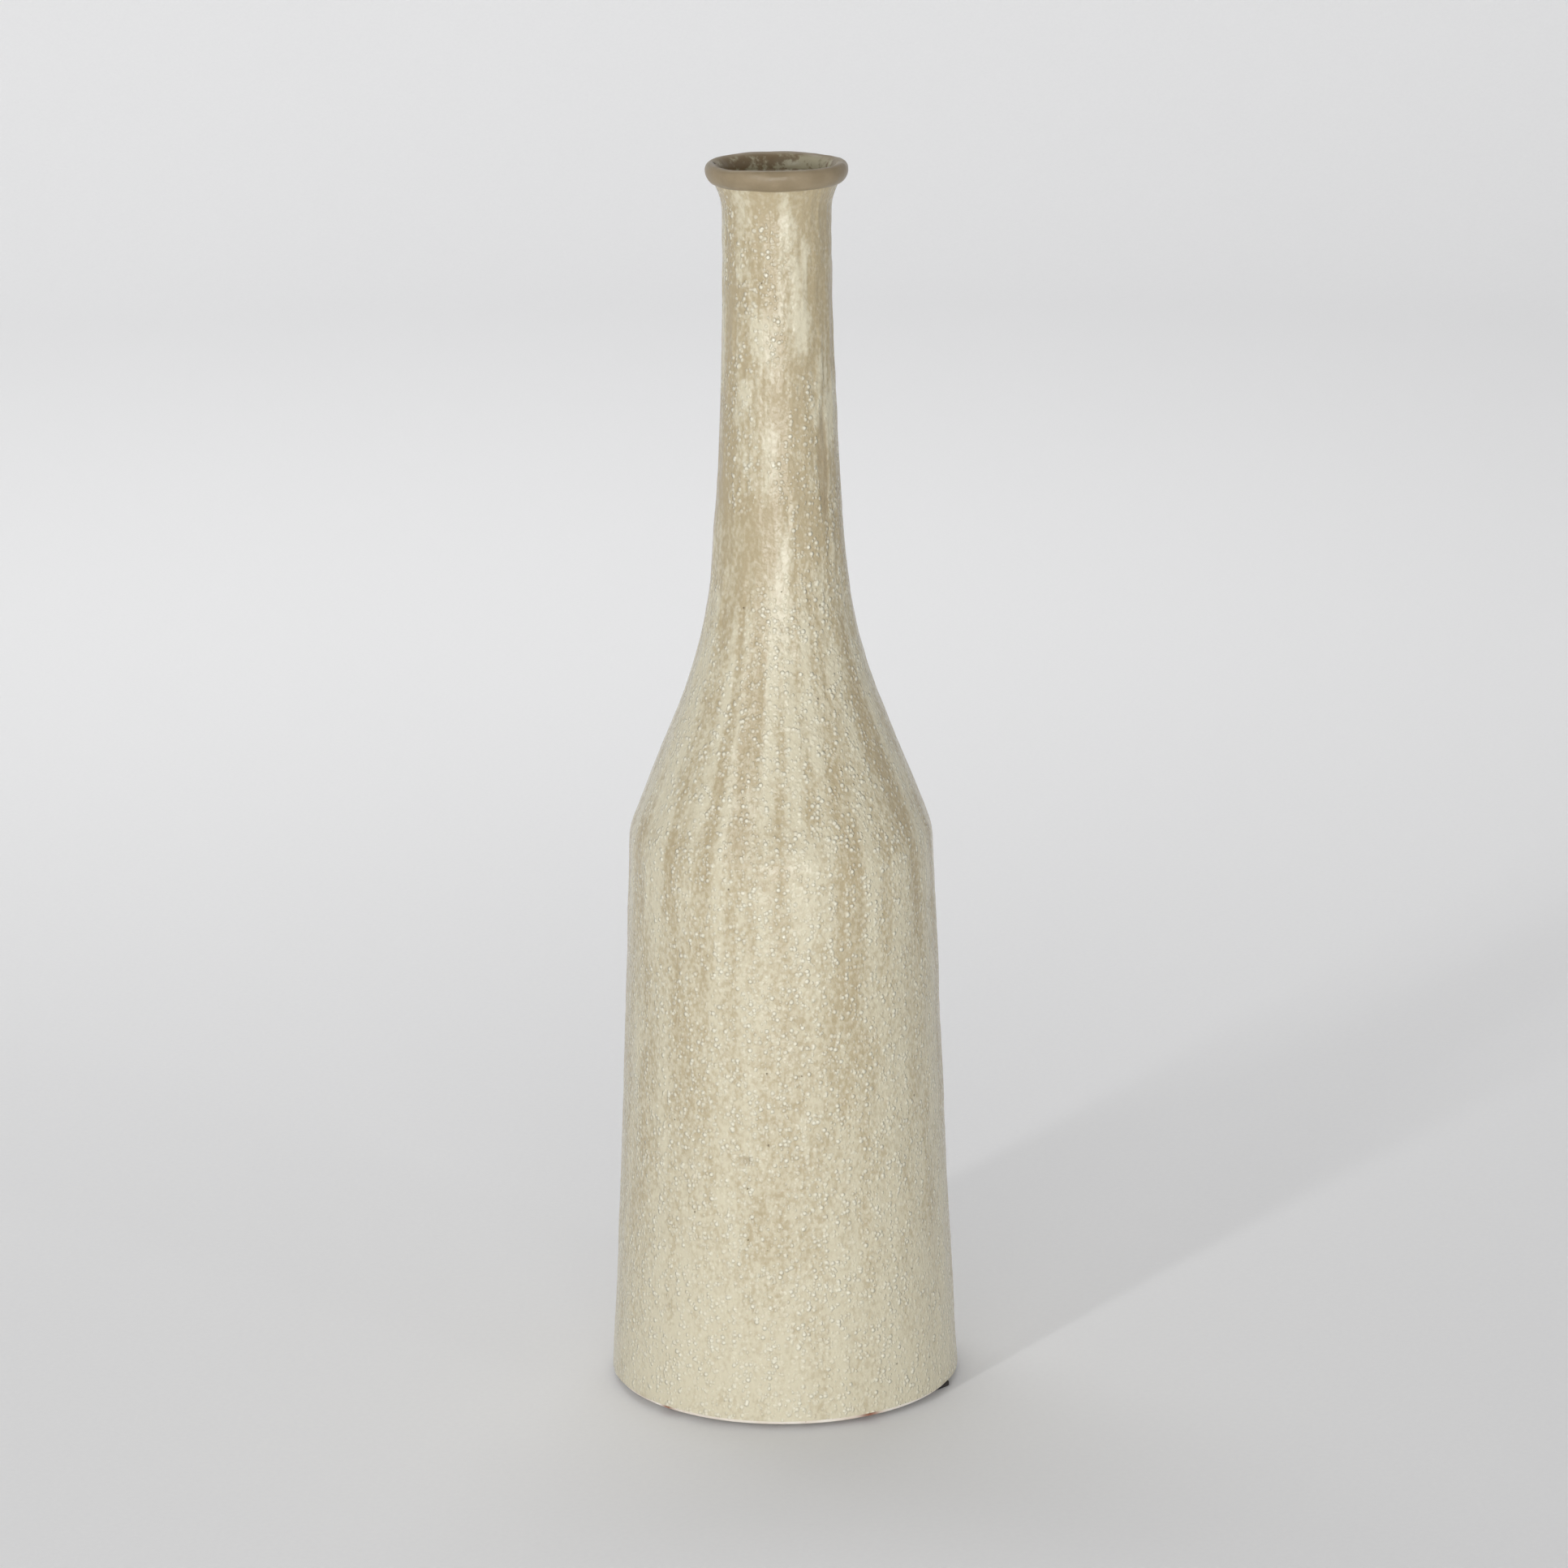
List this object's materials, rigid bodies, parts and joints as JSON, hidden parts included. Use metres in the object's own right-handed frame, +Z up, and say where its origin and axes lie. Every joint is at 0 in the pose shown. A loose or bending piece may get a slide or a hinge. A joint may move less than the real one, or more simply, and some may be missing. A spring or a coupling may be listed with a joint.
{
  "type": "stoneware bottle vase",
  "caption": "Tall stoneware bottle vase with a flared body, sloping shoulder, long slim neck and rolled rim, in a speckled cream glaze, on thin square pads.",
  "frame": {"origin": "on the vase's axis, at the underside of the pads", "axes": "+Z up along the vase's axis, towards the mouth; +X and +Y level, the pads are stuck on by hand and each is turned a little differently"},
  "size_m": [0.1352, 0.1352, 0.48],
  "materials": {
    "bare_stoneware": "dry, unglazed",
    "rim_glaze": "thin smooth satin glaze, taupe brown",
    "speckled_glaze": "satin cream glaze with raised pale specks and tan streaks",
    "liner_glaze": "thin brown liner glaze with pale pooled patches",
    "pad_rubber": "matte black"
  },
  "bodies": {
    "root": {"base_slab": "bare_stoneware", "body_wall": "bare_stoneware", "shoulder_wall": "bare_stoneware", "neck_tube": "bare_stoneware", "rim_coil": "rim_glaze", "outside_glaze": "speckled_glaze", "inside_glaze": "liner_glaze", "foot_pad_1": "pad_rubber", "foot_pad_2": "pad_rubber", "foot_pad_3": "pad_rubber", "foot_pad_4": "pad_rubber"}
  },
  "joints": []
}
